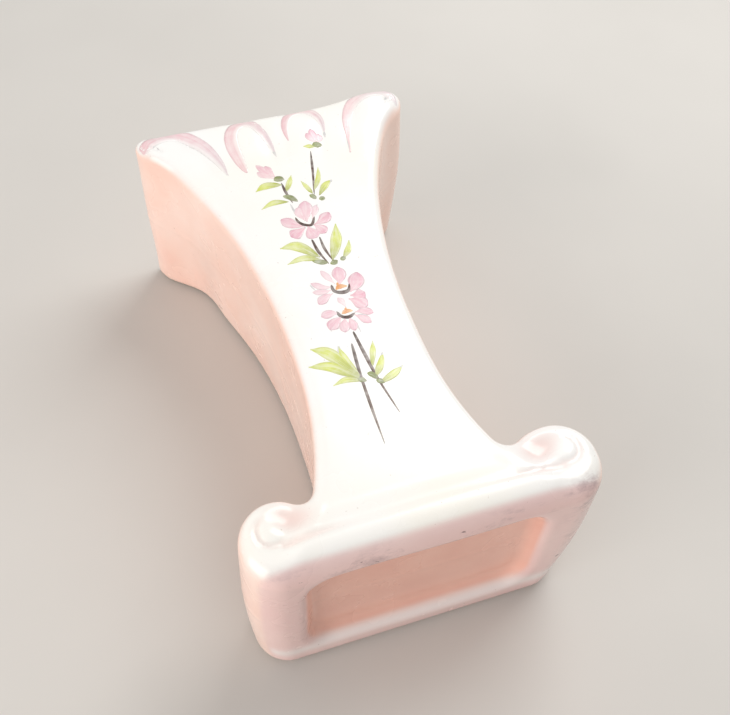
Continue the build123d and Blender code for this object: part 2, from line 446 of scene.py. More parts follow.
# %% Mesh helpers
def mesh_object(name, points_mm, faces, material=None):
    """A smooth mesh object from points in millimetres."""
    mesh = bpy.data.meshes.new(name)
    mesh.from_pydata((np.asarray(points_mm) * MM).tolist(), [], np.asarray(faces).tolist())
    mesh.polygons.foreach_set("use_smooth", [True] * len(mesh.polygons))
    piece = bpy.data.objects.new(name, mesh)
    bpy.context.scene.collection.objects.link(piece)
    if material:
        mesh.materials.append(material)
    return piece


def mark(piece, name, values):
    """Stores one number per point for a material to read."""
    attribute = piece.data.attributes.new(name, "FLOAT", "POINT")
    attribute.data.foreach_set("value", np.asarray(values, np.float32))


print("meshes are made in millimetres and scaled by", MM)

# %% [markdown]
# ## The shell and its zones
#
# The glaze differs from place to place: white on the front, peach pink on the sides and in the tray (sprayed
# pink and a painted warm reflection), a deeper pink in the hollows (sprayed pink and painted shade), painted
# shade under the foot, a painted highlight along the foot's back edge, scuffs on its front edge and bare clay
# inside. Each zone is worked out from the shape itself, from which way the surface faces and how far it is
# from the tray or the hollow, so the zones move along when a size is changed.

# %% The shell
shell = mesh_object("glazed_shell", shell_points, shell_quads)
px, py, pz = shell_points.T
normal = slope_of(shell_points, shell_distance)
normal /= np.linalg.norm(normal, axis=1)[:, None]
print("shell has", len(shell.data.polygons), "faces")

# %% Sprayed zones, painted shade and bare zones
in_hollow = ease(0.8, 0.1, np.abs(hollow_distance(px, py, pz)))
in_tray = ease(1.4, 0.3, np.abs(tray_distance(px, py, pz))) * ease(FOOT_Y + 0.6, FOOT_Y + 1.8, py)
mark(shell, "front", ease(0.25, 0.8, normal[:, 2]) * (1 - in_hollow))
mark(shell, "inner", in_hollow)
mark(shell, "rim", ease(-0.75, -0.97, normal[:, 2]) * ease(RIM_Z + 0.9, RIM_Z + 0.2, pz))
mark(shell, "tray", in_tray * (1 - in_hollow))
# Downward faces of the foot, which get painted shade.
mark(shell, "under", ease(-0.25, -0.7, normal[:, 1]) * ease(FOOT_Y + 4, FOOT_Y + 2, py))
mark(shell, "pressed", np.clip(-relief(px, py) / 1.8, 0, 1) * ease(45, 50, pz))
print("in the tray:", int((in_tray > 0.5).sum()), "points")

# %% Highlight and rubbed zones
BACK_EDGE_Z = TRAY_Z - TRAY_HALF_Z - 1.0
ROLL_Z, END_X = 51.5, 41.5
# A pale band along the foot's back edge: a painted highlight.
mark(shell, "painted_highlight_and_wear", ease(FOOT_Y + 3.2, FOOT_Y + 1.6, py) * hump(pz, BACK_EDGE_Z, 2.6))
roll_edge = hump(np.hypot(py - FOOT_Y - 0.8, pz - ROLL_Z), 0, 3.2)
right_end = hump(np.hypot(px - END_X, py - FOOT_Y - 1.5), 0, 4.5)
mark(shell, "rubbed", np.clip(roll_edge + right_end, 0, 1))
print("the shell carries", len(shell.data.attributes), "layers")

# %% [markdown]
# ## A small kit for materials
#
# Every finish here is built from nodes: noise at the scale of the real flaw, a ramp to place it, and bump
# for what the finger would feel. Short helpers keep each recipe readable.


# %% A finish and its links
def tint(red, green, blue):
    """A colour from 0 to 255 as seen, turned into light values."""
    parts = [c / 255 for c in (red, green, blue)]
    return [c / 12.92 if c <= 0.04045 else ((c + 0.055) / 1.055) ** 2.4 for c in parts] + [1.0]


def new_finish(name, roughness, **sockets):
    """A material with its shader, ready for patterns."""
    material = bpy.data.materials.new(name)
    material.use_nodes = True
    shader = material.node_tree.nodes["Principled BSDF"]
    shader.inputs["Roughness"].default_value = roughness
    for socket, value in sockets.items():
        shader.inputs[socket.replace("_", " ")].default_value = value
    return material, material.node_tree, shader


def link(tree, start, end):
    """Runs a wire from an output to an input."""
    tree.links.new(start, end)


def number(tree, name):
    """Reads one of the mesh's own layers."""
    node = tree.nodes.new("ShaderNodeAttribute")
    node.attribute_name = name
    return node.outputs["Fac"]


def place(tree):
    """The point's own place on its piece, in metres."""
    return tree.nodes.new("ShaderNodeTexCoord").outputs["Object"]


print("white glaze in light values:", [round(v, 2) for v in tint(250, 247, 243)])


# %% Patterns
def noise(tree, vector, scale, detail=3.0, roughness=0.5, stretch=None):
    """Cloudy variation; stretch makes it run in one direction."""
    if stretch:
        mapping = tree.nodes.new("ShaderNodeMapping")
        mapping.inputs["Scale"].default_value = stretch
        link(tree, vector, mapping.inputs["Vector"])
        vector = mapping.outputs["Vector"]
    node = tree.nodes.new("ShaderNodeTexNoise")
    node.inputs["Scale"].default_value = scale
    node.inputs["Detail"].default_value = detail
    node.inputs["Roughness"].default_value = roughness
    link(tree, vector, node.inputs["Vector"])
    return node.outputs["Fac"]


def ramp(tree, factor, *stops):
    """Places colours or greys along a factor from 0 to 1."""
    node = tree.nodes.new("ShaderNodeValToRGB")
    bar = node.color_ramp.elements
    for index, (spot, colour) in enumerate(stops):
        stop = bar[index] if index < 2 else bar.new(spot)
        stop.position = spot
        stop.color = colour if isinstance(colour, list) else [colour] * 3 + [1.0]
    link(tree, factor, node.inputs["Fac"])
    return node.outputs["Color"]


print("patterns: noise and a ramp")


# %% Mixing and bump
def blend_in(tree, factor, first, second):
    """Goes from the first colour to the second as the factor rises."""
    node = tree.nodes.new("ShaderNodeMix")
    node.data_type = "RGBA"
    link(tree, factor, node.inputs["Factor"])
    for value, socket in ((first, node.inputs["A"]), (second, node.inputs["B"])):
        if isinstance(value, list):
            socket.default_value = value
        else:
            link(tree, value, socket)
    return node.outputs["Result"]


def work(tree, kind, first, second):
    """One sum on two numbers, kept between 0 and 1."""
    node = tree.nodes.new("ShaderNodeMath")
    node.operation = kind
    node.use_clamp = True
    for value, socket in ((first, node.inputs[0]), (second, node.inputs[1])):
        if isinstance(value, (int, float)):
            socket.default_value = value
        else:
            link(tree, value, socket)
    return node.outputs[0]


def bump(tree, shader, height, strength, distance):
    """Lets a pattern be felt as well as seen."""
    node = tree.nodes.new("ShaderNodeBump")
    node.inputs["Strength"].default_value = strength
    node.inputs["Distance"].default_value = distance
    link(tree, height, node.inputs["Height"])
    link(tree, node.outputs["Normal"], shader.inputs["Normal"])


print("mixing: a blend, a sum and a bump")

# %% [markdown]
# ## The glaze
#
# A clear glossy glaze lies over white slip. The front is nearly white with a trace of cream. The sides, the
# tray and the hollows of the scrolls are peach pink: sprayed pink together with a painted warm reflection on
# the sides and the tray, and with painted shade in the hollows. The foot's downward faces get a greyer pink,
# which is painted shade, and the unseen inside is plain bisque.
# One material does it all, by mixing along the marks on the mesh, so every change of colour is as soft as a
# spray gun leaves it. Separate materials would need a hard edge between them.

# %% Glaze colours
WHITE, CREAM, BISQUE = tint(253, 252, 250), tint(252, 249, 240), tint(228, 208, 190)
# The side peach is partly sprayed pink and partly a painted warm reflection.
SIDE_PALE, PEACH, SIDE_DEEP = tint(255, 228, 216), tint(254, 218, 203), tint(252, 206, 190)
GLAZE_ROUGH, GLAZE_COAT = 0.26, {"Coat_Weight": 0.25, "Coat_Roughness": 0.14}
print("peach in light values:", [round(v, 2) for v in PEACH])


# %% Sprayed colours and painted light
def white_front(tree, where):
    """The white of the front, a little creamy in clouds."""
    return ramp(tree, noise(tree, where, 28, 4), (0.42, WHITE), (0.72, CREAM))


def sprayed_and_painted_light(tree, where):
    """White in front; peach sides and tray, sprayed pink with a painted warm reflection; deeper pink in the
    hollows, sprayed pink with painted shade; greyer pink under the foot, painted shade.
    """
    clouds = noise(tree, where, 36, 4, 0.55)
    # Peach sides: sprayed pink together with a painted warm reflection.
    sides = ramp(tree, clouds, (0.3, SIDE_PALE), (0.55, PEACH), (0.8, SIDE_DEEP))
    colour = blend_in(tree, number(tree, "front"), sides, white_front(tree, where))
    # Deeper pink in the pressed hollows: sprayed pink together with painted shade.
    hollow_pink_and_shade = ramp(tree, clouds, (0.3, tint(244, 200, 190)), (0.8, tint(240, 186, 176)))
    colour = blend_in(tree, work(tree, "MULTIPLY", number(tree, "pressed"), 0.6), colour, hollow_pink_and_shade)
    # Greyer, darker pink on the foot's downward faces: painted shade.
    lip = ramp(tree, clouds, (0.3, tint(244, 212, 207)), (0.75, tint(236, 198, 196)))
    colour = blend_in(tree, work(tree, "MULTIPLY", number(tree, "under"), 0.85), colour, lip)
    patches = noise(tree, where, 90, 5)
    # The tray's peach: sprayed pink together with a painted warm reflection.
    floor_tone = ramp(tree, patches, (0.3, tint(250, 198, 180)), (0.75, tint(245, 188, 170)))
    return blend_in(tree, number(tree, "tray"), colour, floor_tone)


print("sprayed colours ready")

# %% [markdown]
# ## Wear and a painted highlight on the glaze
#
# The foot is what gets handled and set down. Its back edge carries a painted highlight, a pale band along the
# rounded edge, its front edge has grey scuffs and a few dark nicks, and the whole glaze has the odd speck of
# iron. The highlight and the wear are painted on last, over the sprayed colours, and each kind of wear is
# noise at its own scale, cut off so that only its peaks show.


# %% Highlight, scuffs, nicks and specks
def painted_highlight_and_wear(tree, where, colour):
    """The glaze colours with a painted highlight on the foot's back edge, scuffed and nicked edges and iron
    specks.
    """
    # A painted highlight along the foot's back edge.
    rim_highlight = work(tree, "MULTIPLY", number(tree, "painted_highlight_and_wear"), 0.75)
    colour = blend_in(tree, rim_highlight, colour, tint(253, 246, 243))
    scuffs = ramp(tree, noise(tree, where, 170, 6, 0.75, (0.5, 1, 1)), (0.5, 0.0), (0.68, 1.0))
    rubbed = work(tree, "MULTIPLY", work(tree, "MULTIPLY", scuffs, number(tree, "rubbed")), 0.6)
    colour = blend_in(tree, rubbed, colour, tint(176, 152, 154))
    nicks = ramp(tree, noise(tree, where, 420, 3, 0.6, (0.45, 1, 1)), (0.7, 0.0), (0.735, 1.0))
    chipped = work(tree, "MULTIPLY", work(tree, "MULTIPLY", nicks, number(tree, "rubbed")), 0.9)
    colour = blend_in(tree, chipped, colour, tint(112, 92, 94))
    specks = ramp(tree, noise(tree, where, 900, 2), (0.745, 0.0), (0.76, 1.0))
    return blend_in(tree, work(tree, "MULTIPLY", specks, 0.35), colour, tint(170, 140, 120))


print("wear ready")


# %% Glaze recipe
def glaze_finish():
    """Glossy glaze outside, matt clay inside and on the rim."""
    material, tree, shader = new_finish("hand_glaze", GLAZE_ROUGH, **GLAZE_COAT)
    where = place(tree)
    colour = painted_highlight_and_wear(tree, where, sprayed_and_painted_light(tree, where))
    clay = ramp(tree, noise(tree, where, 240, 6, 0.6), (0.3, BISQUE), (0.75, tint(214, 190, 170)))
    bare = work(tree, "MAXIMUM", number(tree, "inner"), number(tree, "rim"))
    link(tree, blend_in(tree, bare, colour, clay), shader.inputs["Base Color"])
    gloss = ramp(tree, noise(tree, where, 60, 3), (0.3, 0.2), (0.8, 0.34))
    link(tree, blend_in(tree, bare, gloss, tint(214, 214, 214)), shader.inputs["Roughness"])
    bump(tree, shader, noise(tree, where, 140, 4), 0.12, 0.0003)
    return material


shell.data.materials.append(glaze_finish())
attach(shell, "cover")
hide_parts("ceramic_shell")
print("glazed", shell.name)

# %% [markdown]
# ## One stroke of a loaded brush
#
# The flowers were painted by hand under the last thin glaze. A brush stroke isn't a picture: it starts,
# presses, swells and lifts. So each one is a narrow ribbon along a few points, with a width that follows
# the brush. A picture would have been quicker, but it would blur close up and would not be part of the
# mesh.


# %% Flowing line
def flowing_line(points, count):
    """A smooth line through a few points, by Catmull and Rom's rule."""
    points = np.array(points, float)
    points = np.vstack([2 * points[0] - points[1], points, 2 * points[-1] - points[-2]])
    place_on = np.linspace(0, len(points) - 3 - 1e-6, count)
    i = place_on.astype(int)
    t = (place_on - i)[:, None]
    a, b, c, d = points[i], points[i + 1], points[i + 2], points[i + 3]
    return 0.5 * (2 * b + (c - a) * t + (2 * a - 5 * b + 4 * c - d) * t**2 + (3 * b - a - 3 * c + d) * t**3)


print("a line of", len(flowing_line([(0, 0), (1, 2), (3, 3)], 9)), "points through three")

# %% [markdown]
# ## Laying a stroke on the glaze
#
# The front is curved and has relief, so a flat ribbon would float or cut in. Each point of it is settled on
# the shell and then lifted along the slope, by a few hundredths of a millimetre in the middle and less at
# the sides.


# %% On the glaze
def on_glaze(x, y, lift):
    """Points on the shell's surface above x and y, lifted off it."""
    points = np.stack([x, y, front_z(y) + relief(x, y)], 1)
    points = settle(points, shell_distance)
    slope = slope_of(points, shell_distance)
    return points + lift[:, None] * slope / np.linalg.norm(slope, axis=1)[:, None]


crown = on_glaze(np.zeros(1), np.zeros(1), np.zeros(1))[0]
print("the middle of the front is", round(float(crown[2]), 1), "mm above the wall")

# %% [markdown]
# ## The ribbon's skin
#
# A sheet with no thickness is fragile in any export, so each ribbon has a top, an underside hidden in the
# clay and a skirt between them, which makes it a closed solid.

# %% Ribbon skin
LANES = 7


def ribbon_faces(count):
    """Closed skin over and under a ribbon of that many stations."""
    size = count * LANES
    cell = np.arange(size).reshape(count, LANES)
    a, b, c, d = (part.ravel() for part in (cell[:-1, :-1], cell[1:, :-1], cell[1:, 1:], cell[:-1, 1:]))
    top = np.stack([a, d, c, b], 1)
    rim = np.concatenate([cell[:, 0], cell[-1, 1:], cell[-2::-1, -1], cell[0, -2:0:-1]])
    after = np.roll(rim, -1)
    skirt = np.stack([rim, after, after + size, rim + size], 1)
    return np.vstack([top, top[:, ::-1] + size, skirt])


print("a ribbon of 10 stations has", len(ribbon_faces(10)), "faces")

# %% [markdown]
# ## The brush
#
# Where the brush is pressed hardest, how blunt it is and how much colour it holds are what tells one stroke
# from another. A little seeded chance makes the edges uneven, and it gives the same strokes on every run.

# %% Brush
STATION, THINNEST = 0.45, 0.12
DOME, PAINT_LIFT, PAINT_SUNK = 0.028, 0.012, -0.12
stroke_dice = np.random.default_rng(7)


def brush(points, width, press=0.5, body=0.7, load=1.0):
    """One stroke: mesh and layers. press is where the brush is widest, body how blunt it is."""
    reach = np.linalg.norm(np.diff(np.array(points, float), axis=0), axis=1).sum()
    count = max(10, int(reach / STATION))
    line = flowing_line(points, count)
    along = np.linspace(0, 1, count)
    swell = np.sin(math.pi * along ** (math.log(0.5) / math.log(press))) ** body
    half = width / 2 * np.maximum(swell, THINNEST)
    half = half * (1 + 0.09 * np.sin(11 * along + stroke_dice.uniform(0, 6)) * np.minimum(1, 1.2 / width))
    ahead = np.gradient(line, axis=0)
    ahead /= np.linalg.norm(ahead, axis=1)[:, None]
    lanes = np.linspace(-1, 1, LANES)
    x = line[:, :1] - ahead[:, 1:] * half[:, None] * lanes
    y = line[:, 1:] + ahead[:, :1] * half[:, None] * lanes
    height = DOME * (1 - lanes**4) * np.clip(half, 0.25, 1)[:, None]
    top = on_glaze(x.ravel(), y.ravel(), (height + PAINT_LIFT).ravel())
    under = on_glaze(x.ravel(), y.ravel(), np.full(x.size, PAINT_SUNK))
    layers = {
        "along": np.repeat(along, LANES),
        "across": np.tile(lanes, count),
        "load": np.full(x.size, load),
        "chance": np.full(x.size, stroke_dice.uniform(0, 1)),
    }
    return np.vstack([top, under]), ribbon_faces(count), {k: np.tile(v, 2) for k, v in layers.items()}


print("strokes have a station every", STATION, "mm and", LANES, "lanes")

# %% [markdown]
# ## From strokes to a piece
#
# All the strokes of one colour were painted in one go, so they become one piece. It rides with the cover,
# since paint and glaze were fired together, and it gets its colour's own finish.


# %% Painted piece
def painted_piece(name, strokes, finish):
    """Joins many strokes of one colour into one piece on the cover."""
    points, faces, layers, start = [], [], {}, 0
    for stroke_points, stroke_faces, stroke_layers in strokes:
        points.append(stroke_points)
        faces.append(stroke_faces + start)
        start += len(stroke_points)
        for key, values in stroke_layers.items():
            layers.setdefault(key, []).append(values)
    piece = mesh_object(name, np.vstack(points), np.vstack(faces), finish)
    for key, values in layers.items():
        mark(piece, key, np.concatenate(values))
    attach(piece, "cover")
    print(name, "has", len(strokes), "strokes and", len(piece.data.polygons), "faces")


print("strokes of one colour are joined by painted_piece")

# %% [markdown]
# ## Ceramic colours
#
# Ceramic paint is thin, so the white shows through it, more where the brush was dry and less where the
# colour ran together. Each finish mixes the white of the glaze with a pigment: a ramp along the stroke
# gives its tip, body and root, and fine noise drawn out along the stroke gives the hairs of the brush.


# %% Paint recipe
def paint_finish(name, tip, middle, root, cover, wash=0.0):
    """A thin colour. cover is how much white it hides, wash how far one side of the stroke fades."""
    material, tree, shader = new_finish(name, 0.28, **GLAZE_COAT)
    along, across, chance = number(tree, "along"), number(tree, "across"), number(tree, "chance")
    hairs = tree.nodes.new("ShaderNodeCombineXYZ")
    for layer, socket in zip((across, along, chance), hairs.inputs):
        link(tree, layer, socket)
    streaks = noise(tree, hairs.outputs[0], 2.6, 5, 0.65, (1.0, 0.6, 40.0))
    blots = noise(tree, place(tree), 420, 3)
    colour = ramp(tree, along, (0.0, tip), (1.0, root), (0.45, middle))
    strength = work(tree, "MULTIPLY", ramp(tree, streaks, (0.32, 0.5), (0.62, 1.0)), cover)
    strength = work(tree, "MULTIPLY", strength, ramp(tree, blots, (0.35, 0.75), (0.6, 1.0)))
    strength = work(tree, "MULTIPLY", strength, number(tree, "load"))
    to_edge = work(tree, "POWER", work(tree, "ABSOLUTE", across, 0.0), 9.0)
    strength = work(tree, "MULTIPLY", strength, ramp(tree, to_edge, (0.2, 1.0), (1.0, 0.2)))
    if wash:
        side = work(tree, "MULTIPLY", work(tree, "ADD", across, 1.0), 0.5)
        strength = work(tree, "MULTIPLY", strength, ramp(tree, side, (0.05, 1 - wash), (0.8, 1.0)))
    link(tree, blend_in(tree, strength, white_front(tree, place(tree)), colour), shader.inputs["Base Color"])
    bump(tree, shader, streaks, 0.1, 0.0001)
    return material


print("a colour is a tip, a middle and a root")

# %% [markdown]
# ## Eight pots of colour
#
# Two greens, two roses, two browns, a gold and a grey. Each brushful runs from one tone to another, so each
# pot is three tones and how well it covers. Dark colours cover best, as they do in real ceramic paint.

# %% Colours
leaf_green = paint_finish("leaf_green", tint(204, 214, 104), tint(220, 228, 116), tint(164, 172, 82), 1.15)
bud_olive = paint_finish("bud_olive", tint(150, 162, 96), tint(132, 142, 84), tint(126, 132, 80), 1.3)
stem_brown = paint_finish("stem_brown", tint(84, 70, 62), tint(92, 66, 54), tint(104, 80, 68), 1.6)
petal_rose = paint_finish("petal_rose", tint(232, 172, 186), tint(236, 172, 190), tint(222, 150, 174), 0.85)
lobe_rose = paint_finish("lobe_rose", tint(226, 138, 156), tint(232, 154, 170), tint(196, 168, 180), 1.0, 0.9)
cup_brown = paint_finish("cup_brown", tint(92, 60, 46), tint(70, 42, 34), tint(92, 60, 46), 1.7)
heart_gold = paint_finish("heart_gold", tint(238, 168, 80), tint(232, 146, 62), tint(238, 184, 100), 1.3)
shade_grey = paint_finish("shade_grey", tint(170, 172, 176), tint(150, 152, 158), tint(180, 170, 176), 0.6)
print("eight painter's colours mixed")

# %% [markdown]
# ## The leaves
#
# Three open flowers, two buds and four groups of leaves climb the front on thin brown stems. A painter
# works from light to dark, so the leaves come first. Each line below gives the widest width and the points
# that the brush passed through, tip first, in millimetres on the front.

# %% Leaves
leaf_strokes = [
    (2.8, (-11.6, 43.9), (-8.0, 45.4), (-3.4, 44.6)),
    (1.9, (0.3, 47.6), (-1.2, 44.6), (-3.0, 41.4)),
    (2.1, (-11.8, 36.6), (-7.8, 38.2), (-3.4, 37.4)),
    (1.7, (9.0, 48.6), (7.6, 44.0), (4.9, 39.6)),
    (1.6, (2.4, 44.5), (3.4, 41.5), (4.3, 38.6)),
    (2.2, (11.4, 42.5), (8.9, 40.9), (6.0, 37.4)),
    (1.6, (7.2, 57.9), (8.8, 57.6), (10.8, 57.0)),
    (3.7, (-10.8, 20.6), (-5.8, 20.0), (-0.9, 14.6)),
    (2.3, (-10.4, 14.4), (-5.6, 15.4), (-1.0, 13.8)),
    (3.4, (7.1, 25.4), (5.4, 19.4), (2.2, 12.6)),
    (1.9, (8.9, 18.4), (7.6, 15.2), (5.3, 12.4)),
    (3.9, (-12.7, -14.9), (-8.2, -18.0), (-2.5, -27.2)),
    (3.4, (-14.8, -20.2), (-9.0, -21.9), (-3.0, -27.4)),
    (1.9, (-10.4, -27.6), (-6.6, -26.8), (-2.8, -28.2)),
    (2.0, (-5.4, -16.2), (-4.9, -20.4), (-2.9, -26.2)),
    (1.7, (3.9, -17.0), (2.8, -20.4), (1.0, -25.2)),
    (2.1, (5.2, -21.4), (3.4, -24.8), (0.8, -28.2)),
    (2.3, (8.9, -26.8), (5.6, -28.6), (1.6, -30.2)),
]
painted_piece("painted_leaves", [brush(p, w, 0.55, 0.8) for w, *p in leaf_strokes], leaf_green)

# %% [markdown]
# ## The petals
#
# Each petal is one press of a round brush, pulled from the heart outwards and lifted. The second number is
# how much colour the brush held, because no two petals are equally strong. They are drawn a quarter wider
# than listed, so that neighbours run into each other as wet colour does.

# %% Petals
PETAL_SPREAD = 1.24
petal_strokes = [
    (2.0, 0.9, (-4.2, 47.8), (-6.4, 50.6), (-8.8, 54.2)),
    (2.2, 1.0, (-4.4, 47.9), (-5.6, 50.4), (-6.2, 53.2)),
    (1.9, 0.8, (-4.6, 47.4), (-7.4, 49.6), (-9.2, 51.4)),
    (1.9, 0.9, (11.2, 58.4), (10.2, 60.6), (9.5, 62.8)),
    (2.1, 1.0, (11.5, 58.5), (11.5, 61.0), (11.2, 64.2)),
    (1.9, 0.9, (11.8, 58.4), (12.9, 60.0), (13.3, 62.2)),
    (3.6, 0.9, (-0.5, 28.4), (0.2, 32.2), (1.2, 36.4)),
    (2.6, 0.8, (-0.9, 28.8), (-1.6, 31.8), (-1.2, 34.6)),
    (1.8, 0.7, (1.2, 29.0), (2.6, 31.4), (3.9, 34.0)),
    (3.0, 1.0, (1.2, 26.8), (4.2, 27.9), (6.6, 30.2)),
    (3.2, 1.0, (-1.8, 26.6), (-4.8, 28.6), (-7.6, 31.2)),
    (3.4, 1.0, (-1.6, 26.4), (-4.4, 25.0), (-6.6, 24.0)),
    (3.8, 1.0, (-0.8, 26.8), (-0.4, 24.0), (0.4, 21.8)),
    (3.0, 1.0, (1.0, 26.8), (2.4, 25.0), (3.4, 22.8)),
    (3.4, 1.0, (1.3, 3.4), (2.2, 6.4), (2.6, 9.9)),
    (1.7, 0.7, (0.2, 4.2), (-1.0, 6.8), (-2.2, 9.8)),
    (1.7, 0.75, (-0.8, 3.4), (-3.4, 4.0), (-6.2, 6.2)),
    (1.7, 0.7, (-1.0, 2.4), (-3.8, 2.4), (-6.6, 3.0)),
    (2.4, 0.9, (-1.4, 1.2), (-3.8, 0.4), (-6.2, -1.4)),
    (3.8, 1.1, (3.4, 0.4), (5.6, 2.6), (7.3, 6.6)),
    (3.2, 1.1, (3.0, -0.8), (5.2, -1.2), (7.2, -0.8)),
    (3.6, 1.0, (2.2, -1.8), (4.4, -3.4), (6.4, -5.6)),
    (1.5, 0.6, (0.6, -4.4), (0.2, -2.4), (-0.6, -0.6)),
    (2.4, 0.9, (-1.6, -5.8), (-4.2, -5.2), (-6.8, -5.6)),
    (3.0, 1.0, (-1.4, -7.0), (-3.8, -8.4), (-5.8, -10.4)),
    (2.6, 0.9, (-0.8, -7.8), (-1.6, -9.8), (-2.2, -12.3)),
    (2.2, 0.9, (0.4, -7.8), (0.6, -10.0), (0.5, -12.5)),
    (2.2, 0.9, (2.0, -7.4), (3.8, -9.0), (5.6, -11.2)),
    (2.2, 1.0, (2.4, -6.6), (4.8, -6.8), (7.2, -8.2)),
]
petals = [brush(p, PETAL_SPREAD * w, 0.66, 0.7, load) for w, load, *p in petal_strokes]
painted_piece("painted_petals", petals, petal_rose)

# %% [markdown]
# ## The lobes' rose edges
#
# One broad stroke goes round each lobe, strong outside and washed out towards its middle. The second number
# is where along the stroke the brush was pressed hardest.

# %% Lobe edges
lobe_strokes = [
    (5.6, 0.3, (-40.6, 67.6), (-36.5, 71.2), (-29.0, 72.2), (-22.8, 66.6), (-19.4, 59.6), (-17.8, 53.0)),
    (4.4, 0.4, (-12.0, 52.2), (-13.0, 58.0), (-13.5, 64.0), (-12.5, 69.0), (-9.4, 72.0),
     (-5.8, 71.4), (-3.6, 67.4), (-2.4, 62.4), (-1.8, 57.4)),
    (3.2, 0.5, (3.6, 61.8), (3.9, 67.0), (5.6, 71.2), (8.8, 73.3), (12.2, 72.9),
     (14.8, 70.2), (15.6, 66.4), (15.2, 62.0)),
    (4.8, 0.66, (20.5, 52.2), (22.2, 59.6), (23.8, 66.0), (27.2, 70.8), (33.0, 72.9),
     (39.0, 71.8), (41.4, 67.2)),
]
lobe_edges = [brush(p, w, press, 0.6, 0.95) for w, press, *p in lobe_strokes]
painted_piece("painted_lobe_edges", lobe_edges, lobe_rose)

# %% [markdown]
# ## Hearts and cups
#
# The two lower flowers have a dab of gold for a heart, and every flower has a dark cup under it: a short
# curved line that gives the flower its direction. The cups are blunt, because the brush was stood nearly
# upright.

# %% Hearts
heart_strokes = [
    (1.7, (-0.2, 2.2), (1.2, 3.0), (3.2, 2.6)), (1.5, (-1.2, -6.2), (0.4, -5.6), (2.0, -6.0)),
    (0.8, (0.8, 3.4), (1.0, 4.6)), (0.7, (0.2, -5.4), (0.5, -4.4)),
]
painted_piece("painted_hearts", [brush(p, w) for w, *p in heart_strokes], heart_gold)

# %% Cups
cup_strokes = [
    (1.1, (-3.3, 30.9), (-2.9, 28.8), (-1.5, 27.4), (0.5, 27.0), (2.1, 29.8)),
    (1.25, (-0.9, 4.2), (-0.8, 2.0), (0.9, 0.9), (3.1, 1.1), (4.3, 3.6)),
    (1.15, (-2.3, -5.0), (-1.6, -6.9), (0.3, -7.7), (2.4, -6.8)),
]
painted_piece("painted_cups", [brush(p, w, 0.5, 0.35) for w, *p in cup_strokes], cup_brown)

# %% [markdown]
# ## Bud cases and knots
#
# Olive dabs sit under the two buds and wherever leaves join a stem. They hide the joins, which is what the
# painter used them for.

# %% Bud cases
bud_strokes = [
    (2.6, (-5.2, 46.8), (-3.7, 47.2), (-2.2, 46.4)), (2.6, (10.0, 57.6), (11.5, 57.8), (13.0, 57.4)),
    (2.1, (-4.4, 40.0), (-2.6, 39.0), (-0.8, 36.8)), (1.7, (3.2, 38.4), (4.1, 37.4), (4.6, 36.2)),
    (1.8, (5.4, 36.0), (6.4, 36.0), (7.3, 36.2)), (1.9, (-3.4, 13.8), (-1.2, 12.8), (0.8, 12.0)),
    (1.9, (1.2, 11.4), (2.4, 11.7), (3.5, 12.2)), (1.6, (4.4, 12.0), (5.2, 12.4), (6.0, 13.0)),
    (1.7, (-4.0, -27.4), (-2.8, -27.9), (-1.7, -28.6)), (1.9, (-0.8, -26.4), (0.5, -27.2), (1.3, -28.8)),
    (1.7, (0.8, -29.0), (1.7, -29.6), (2.8, -30.4)),
]
painted_piece("painted_buds", [brush(p, w, 0.5, 0.6) for w, *p in bud_strokes], bud_olive)

# %% [markdown]
# ## The stems
#
# A stem is one pull of a fine brush that starts firm and runs out to a point, so it is pressed early in the
# stroke.

# %% Stems
stem_strokes = [
    (0.9, 0.4, (-3.4, 45.4), (-3.1, 41.0), (-2.4, 36.6)),
    (0.8, 0.45, (8.8, 55.6), (6.9, 47.0), (4.6, 38.0)),
    (0.95, 0.35, (-1.2, 21.6), (-0.7, 16.6), (0.8, 11.6)),
    (0.85, 0.4, (1.2, 21.9), (1.3, 17.2), (2.4, 12.0)),
    (0.95, 0.3, (-1.7, -16.2), (-2.6, -25.8), (-3.1, -36.6), (-3.4, -47.6)),
    (1.0, 0.3, (-0.1, -12.6), (0.5, -20.0), (1.4, -29.0), (3.3, -40.0)),
]
painted_piece("painted_stems", [brush(p, w, press, 0.5) for w, press, *p in stem_strokes], stem_brown)

# %% [markdown]
# ## Fine grey shading
#
# Last come a few thin grey lines beside petals, leaf tips and lobes. They are faint, and they keep the pale
# colours from floating on the white. The two in the pinched top corners are painted shade in the creases.

# %% Fine grey shading
shade_strokes = [
    (0.6, (-3.2, 36.4), (-2.8, 31.6)), (0.6, (4.3, 34.2), (2.4, 30.6)),
    (0.5, (1.5, -9.0), (1.9, -13.6)), (0.5, (3.0, -7.6), (5.2, -8.4)),
    (0.45, (-5.4, -15.8), (-6.6, -20.2)), (0.45, (-5.2, -16.0), (-5.0, -20.4)),
    # These two lie in the pinched top corners: painted shade in the creases.
    (0.8, (-39.4, 70.6), (-37.0, 69.0), (-34.6, 66.6)), (0.6, (39.0, 71.0), (37.6, 69.4), (36.8, 67.6)),
    (0.55, (-6.6, 5.8), (-5.6, 3.4)), (0.9, (-2.2, 60.6), (-1.7, 56.4)),
    (0.8, (15.4, 63.4), (15.0, 60.4)), (0.7, (22.0, 60.6), (20.4, 52.0)),
    (0.7, (-19.2, 59.2), (-17.6, 52.4)), (0.6, (-5.4, -8.6), (-5.6, -11.0)),
    (0.9, (11.4, 42.6), (10.0, 41.0)), (0.7, (5.2, -21.2), (4.2, -23.2)),
    (0.7, (8.9, -26.7), (7.2, -27.7)),
]
painted_piece("painted_shading", [brush(p, w, 0.45, 0.5) for w, *p in shade_strokes], shade_grey)

